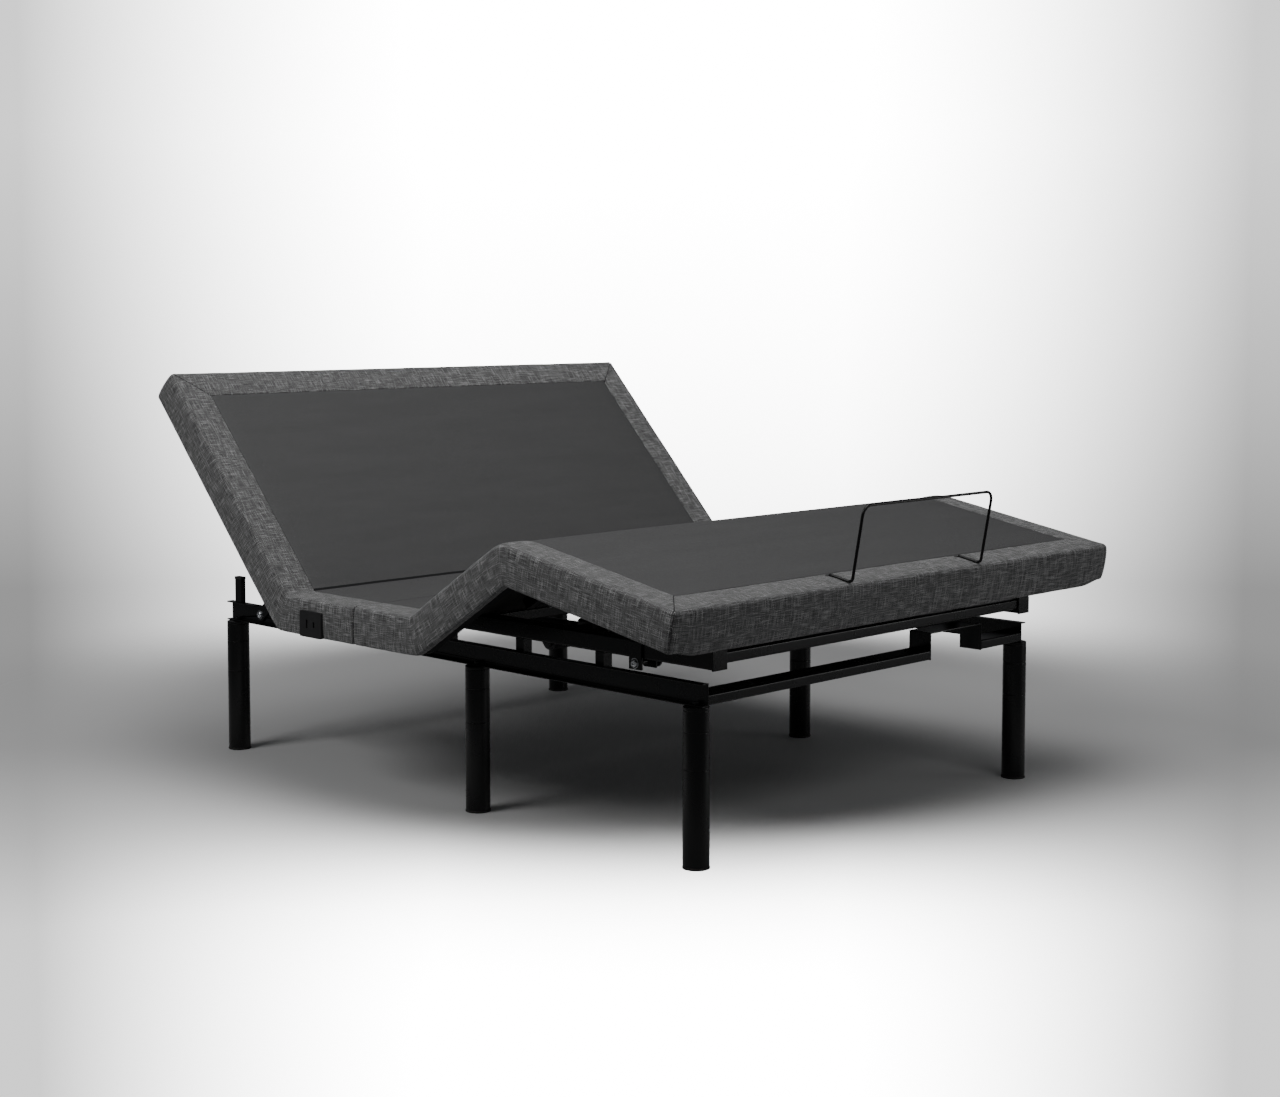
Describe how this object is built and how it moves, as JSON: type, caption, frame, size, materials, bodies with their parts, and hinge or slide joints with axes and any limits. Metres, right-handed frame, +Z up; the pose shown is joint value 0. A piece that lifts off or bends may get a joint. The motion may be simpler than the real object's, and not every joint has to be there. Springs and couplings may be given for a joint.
{
  "type": "adjustable bed base",
  "caption": "Powered adjustable bed base with upholstered head, seat, thigh and foot panels that fold on a black steel frame with round legs.",
  "frame": {"origin": "on the floor, at the middle of the bed's footprint as modelled", "axes": "X across the bed, +Y towards the head end, +Z up"},
  "size_m": [1.54, 1.806, 0.9688],
  "materials": {
    "linen": "woven charcoal linen look, matt",
    "grip_mesh": "fine black non-slip mesh, matt",
    "board_black": "plywood with a black non-woven backing",
    "black_powder": "satin black powder coat",
    "zinc_steel": "bright zinc plate",
    "black_plastic": "matt moulded black",
    "rubber": "matt black"
  },
  "bodies": {
    "base": {"side_rail_left": "black_powder", "side_rail_right": "black_powder", "foot_crossmember": "black_powder", "crossmember_bridge": "black_powder", "head_crossmember": "black_powder", "upper_rail_left": "black_powder", "upper_rail_right": "black_powder", "upper_foot_tube": "black_powder", "actuator_mount_tubes": "black_powder", "frame_risers": "black_powder", "frame_end_caps": "black_powder", "head_braces": "black_powder", "foot_pivot_brackets": "black_powder", "foot_pivot_pins": "zinc_steel", "head_rest_posts": "black_powder", "head_rest_caps": "rubber", "brace_bolts": "zinc_steel", "leg_stud_nuts": "black_powder", "leg_upper_sections": "black_powder", "leg_middle_sections": "black_powder", "leg_lower_sections": "black_powder", "leg_glides": "rubber", "seat_rear_board": "board_black", "seat_rear_border": "linen", "seat_rear_pad": "grip_mesh", "seat_front_board": "board_black", "seat_front_border": "linen", "seat_front_pad": "grip_mesh", "outlet_left": "black_plastic", "outlet_right": "black_plastic", "head_hinge_bases": "zinc_steel", "thigh_hinge_bases": "zinc_steel", "head_actuator_housing": "black_plastic", "head_actuator_motor": "black_plastic", "foot_actuator_housing": "black_plastic", "foot_actuator_motor": "black_plastic", "actuator_rear_pins": "zinc_steel", "control_box": "black_plastic"},
    "head_panel": {"head_board": "board_black", "head_border": "linen", "head_pad": "grip_mesh", "head_frame": "black_powder", "head_hinge_leaves": "zinc_steel"},
    "thigh_panel": {"thigh_board": "board_black", "thigh_border": "linen", "thigh_pad": "grip_mesh", "thigh_frame": "black_powder", "thigh_hinge_leaves": "zinc_steel", "knee_hinge_bases": "zinc_steel"},
    "foot_panel": {"foot_board": "board_black", "foot_border": "linen", "foot_pad": "grip_mesh", "foot_frame": "black_powder", "knee_hinge_leaves": "zinc_steel", "retainer_bar": "black_powder", "retainer_sockets": "black_plastic"},
    "foot_link_pair": {"foot_links": "black_powder"},
    "head_rod": {"head_actuator_rod": "zinc_steel"},
    "foot_rod": {"foot_actuator_rod": "zinc_steel"}
  },
  "joints": [
    {"name": "head_tilt", "type": "hinge", "parent": "base", "child": "head_panel", "pos_m": [0, 0.37803, 0.4433], "axis": [1, 0, 0], "range_deg": [-47, 13]},
    {"name": "thigh_lift", "type": "hinge", "parent": "base", "child": "thigh_panel", "pos_m": [0, -0.08597, 0.4433], "axis": [-1, 0, 0], "range_deg": [-32.5, 7.5]},
    {"name": "knee_fold", "type": "hinge", "parent": "thigh_panel", "child": "foot_panel", "pos_m": [0, -0.37356, 0.62652], "axis": [1, 0, 0], "range_deg": [-43, 9.92]},
    {"name": "foot_link_swing", "type": "hinge", "parent": "base", "child": "foot_link_pair", "pos_m": [0, -0.56397, 0.395], "axis": [1, 0, 0], "range_deg": [-12.08, 52.35]},
    {"name": "head_rod_slide", "type": "slide", "parent": "base", "child": "head_rod", "axis": [0, 1, 0], "range_m": [-0.09273, 0.02565]},
    {"name": "foot_rod_slide", "type": "slide", "parent": "base", "child": "foot_rod", "axis": [0, -1, 0], "range_m": [-0.05271, 0.01216]}
  ],
  "couplings": [
    {"joint": "knee_fold", "follows": "thigh_lift", "ratio": 1.3231},
    {"joint": "foot_link_swing", "follows": "thigh_lift", "ratio": -1.6107},
    {"joint": "head_rod_slide", "follows": "head_tilt", "m_per_rad": 0.11304},
    {"joint": "foot_rod_slide", "follows": "thigh_lift", "m_per_rad": 0.09292}
  ]
}
